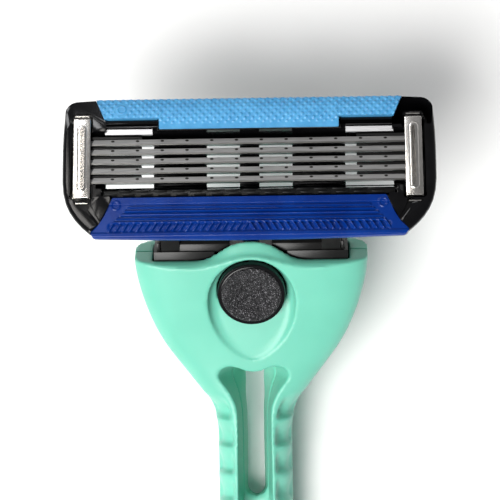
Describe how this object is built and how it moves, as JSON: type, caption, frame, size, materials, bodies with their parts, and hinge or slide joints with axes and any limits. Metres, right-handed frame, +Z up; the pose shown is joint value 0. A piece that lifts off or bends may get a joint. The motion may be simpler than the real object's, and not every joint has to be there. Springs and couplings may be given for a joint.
{
  "type": "cartridge razor",
  "caption": "Safety razor with a pivoting multi-blade cartridge that docks in a long moulded handle and is released by a round button.",
  "frame": {"origin": "under the middle of the razor, on the surface it lies on, blades up", "axes": "+X across the cartridge, +Y along the handle towards the cartridge, +Z up out of the blades"},
  "size_m": [0.042, 0.143, 0.0226],
  "materials": {
    "mint_plastic": "satin mint green",
    "black_button": "fine grain black",
    "black_plastic": "satin black",
    "black_gloss": "gloss black",
    "blue_rubber": "soft dark blue",
    "blue_strip": "waxy light blue",
    "clip_aluminium": "bright",
    "blade_steel": "fine satin",
    "support_steel": "dull",
    "spring_steel": "drawn wire"
  },
  "bodies": {
    "handle": {"handle_front_shell": "mint_plastic", "handle_back_shell": "mint_plastic", "plunger_spring": "spring_steel"},
    "button": {"eject_button": "black_button"},
    "ejector": {"ejector": "black_plastic"},
    "plunger": {"plunger": "black_plastic"},
    "connector": {"connector": "black_plastic"},
    "cartridge": {"cartridge_frame": "black_gloss", "guard_comb": "black_gloss", "rubber_guard": "blue_rubber", "lube_strip": "blue_strip", "clip_left": "clip_aluminium", "clip_right": "clip_aluminium"},
    "blade_unit_1": {"blade_1": "blade_steel", "blade_support_1": "support_steel"},
    "blade_unit_2": {"blade_2": "blade_steel", "blade_support_2": "support_steel"},
    "blade_unit_3": {"blade_3": "blade_steel", "blade_support_3": "support_steel"},
    "blade_unit_4": {"blade_4": "blade_steel", "blade_support_4": "support_steel"},
    "blade_unit_5": {"blade_5": "blade_steel", "blade_support_5": "support_steel"}
  },
  "joints": [
    {"name": "cartridge_release", "type": "slide", "parent": "handle", "child": "connector", "axis": [0, 0.8572, 0.515], "range_m": [0, 0.012]},
    {"name": "cartridge_pivot", "type": "hinge", "parent": "connector", "child": "cartridge", "pos_m": [0, 0.0579, 0.01856], "axis": [-1, 0, 0], "range_deg": [0, 40], "stiffness_Nm_per_rad": 0.01, "springref_deg": -9.74},
    {"name": "plunger_slide", "type": "slide", "parent": "handle", "child": "plunger", "axis": [0, -0.8572, -0.515], "range_m": [0, 0.00154], "deforming": ["plunger_spring"]},
    {"name": "button_press", "type": "slide", "parent": "handle", "child": "button", "axis": [0, 0.515, -0.8572], "range_m": [0, 0.0012], "stiffness_N_per_m": 800, "springref_m": -0.0005},
    {"name": "ejector_slide", "type": "slide", "parent": "handle", "child": "ejector", "axis": [0, 0.8572, 0.515], "range_m": [0, 0.0012]},
    {"name": "blade_1_float", "type": "slide", "parent": "cartridge", "child": "blade_unit_1", "axis": [0, -0.2079, -0.9781], "range_m": [0, 0.00025], "stiffness_N_per_m": 600, "springref_m": -0.0002},
    {"name": "blade_2_float", "type": "slide", "parent": "cartridge", "child": "blade_unit_2", "axis": [0, -0.2079, -0.9781], "range_m": [0, 0.00025], "stiffness_N_per_m": 600, "springref_m": -0.0002},
    {"name": "blade_3_float", "type": "slide", "parent": "cartridge", "child": "blade_unit_3", "axis": [0, -0.2079, -0.9781], "range_m": [0, 0.00025], "stiffness_N_per_m": 600, "springref_m": -0.0002},
    {"name": "blade_4_float", "type": "slide", "parent": "cartridge", "child": "blade_unit_4", "axis": [0, -0.2079, -0.9781], "range_m": [0, 0.00025], "stiffness_N_per_m": 600, "springref_m": -0.0002},
    {"name": "blade_5_float", "type": "slide", "parent": "cartridge", "child": "blade_unit_5", "axis": [0, -0.2079, -0.9781], "range_m": [0, 0.00025], "stiffness_N_per_m": 600, "springref_m": -0.0002}
  ],
  "couplings": [
    {"joint": "plunger_slide", "follows": "cartridge_pivot", "m_per_rad": 0.0022},
    {"joint": "ejector_slide", "follows": "button_press", "ratio": 1}
  ]
}
